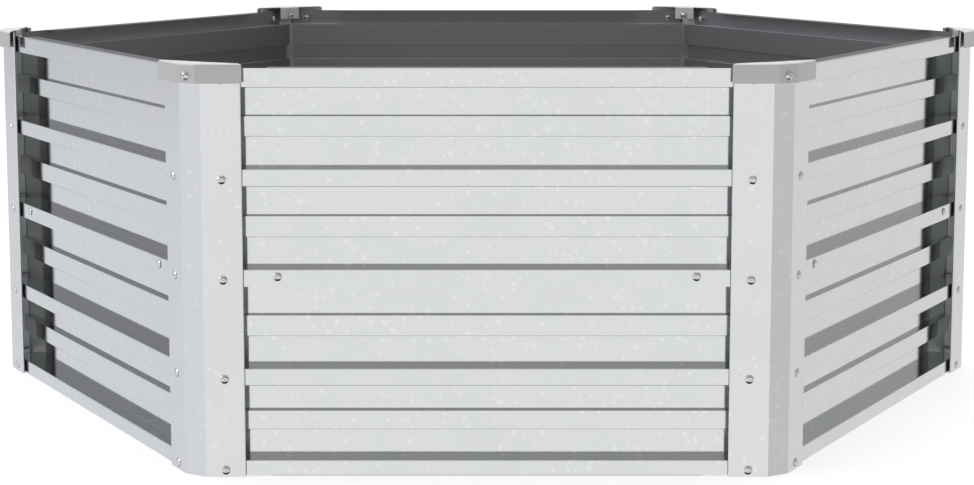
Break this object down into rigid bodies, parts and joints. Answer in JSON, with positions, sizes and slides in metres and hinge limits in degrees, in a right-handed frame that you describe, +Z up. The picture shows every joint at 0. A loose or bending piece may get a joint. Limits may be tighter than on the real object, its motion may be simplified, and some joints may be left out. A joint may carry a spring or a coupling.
{
  "type": "hexagonal raised garden bed",
  "caption": "Bottomless hexagonal raised garden bed of ribbed galvanised steel panels, with folded corner posts, screwed corner caps and bolted panel seams.",
  "frame": {"origin": "on the ground, under the middle of the bed", "axes": "+Z up, -Y out of the front side, +X to the right, through the right corner post"},
  "size_m": [1.3158, 1.1464, 0.4596],
  "materials": {
    "panel_steel": "bright galvanised sheet, smooth and nearly mirror-like, with faint spangle",
    "post_steel": "bright galvanised sheet, smooth, with faint spangle and soft bends",
    "cap_steel": "satin galvanised sheet, pale on top",
    "screw_steel": "bright zinc-plated pan-head screws and hexagon nuts"
  },
  "bodies": {
    "root": {"upper_panel_front": "panel_steel", "lower_panel_front": "panel_steel", "left_seam_bolt_front": "screw_steel", "left_seam_nut_front": "screw_steel", "right_seam_bolt_front": "screw_steel", "right_seam_nut_front": "screw_steel", "upper_panel_front_right": "panel_steel", "lower_panel_front_right": "panel_steel", "left_seam_bolt_front_right": "screw_steel", "left_seam_nut_front_right": "screw_steel", "right_seam_bolt_front_right": "screw_steel", "right_seam_nut_front_right": "screw_steel", "upper_panel_back_right": "panel_steel", "lower_panel_back_right": "panel_steel", "left_seam_bolt_back_right": "screw_steel", "left_seam_nut_back_right": "screw_steel", "right_seam_bolt_back_right": "screw_steel", "right_seam_nut_back_right": "screw_steel", "upper_panel_back": "panel_steel", "lower_panel_back": "panel_steel", "left_seam_bolt_back": "screw_steel", "left_seam_nut_back": "screw_steel", "right_seam_bolt_back": "screw_steel", "right_seam_nut_back": "screw_steel", "upper_panel_back_left": "panel_steel", "lower_panel_back_left": "panel_steel", "left_seam_bolt_back_left": "screw_steel", "left_seam_nut_back_left": "screw_steel", "right_seam_bolt_back_left": "screw_steel", "right_seam_nut_back_left": "screw_steel", "upper_panel_front_left": "panel_steel", "lower_panel_front_left": "panel_steel", "left_seam_bolt_front_left": "screw_steel", "left_seam_nut_front_left": "screw_steel", "right_seam_bolt_front_left": "screw_steel", "right_seam_nut_front_left": "screw_steel", "corner_post_front_right": "post_steel", "corner_cap_front_right": "cap_steel", "cap_screw_front_right": "screw_steel", "cap_nut_front_right": "screw_steel", "corner_post_right": "post_steel", "corner_cap_right": "cap_steel", "cap_screw_right": "screw_steel", "cap_nut_right": "screw_steel", "corner_post_back_right": "post_steel", "corner_cap_back_right": "cap_steel", "cap_screw_back_right": "screw_steel", "cap_nut_back_right": "screw_steel", "corner_post_back_left": "post_steel", "corner_cap_back_left": "cap_steel", "cap_screw_back_left": "screw_steel", "cap_nut_back_left": "screw_steel", "corner_post_left": "post_steel", "corner_cap_left": "cap_steel", "cap_screw_left": "screw_steel", "cap_nut_left": "screw_steel", "corner_post_front_left": "post_steel", "corner_cap_front_left": "cap_steel", "cap_screw_front_left": "screw_steel", "cap_nut_front_left": "screw_steel"}
  },
  "joints": []
}
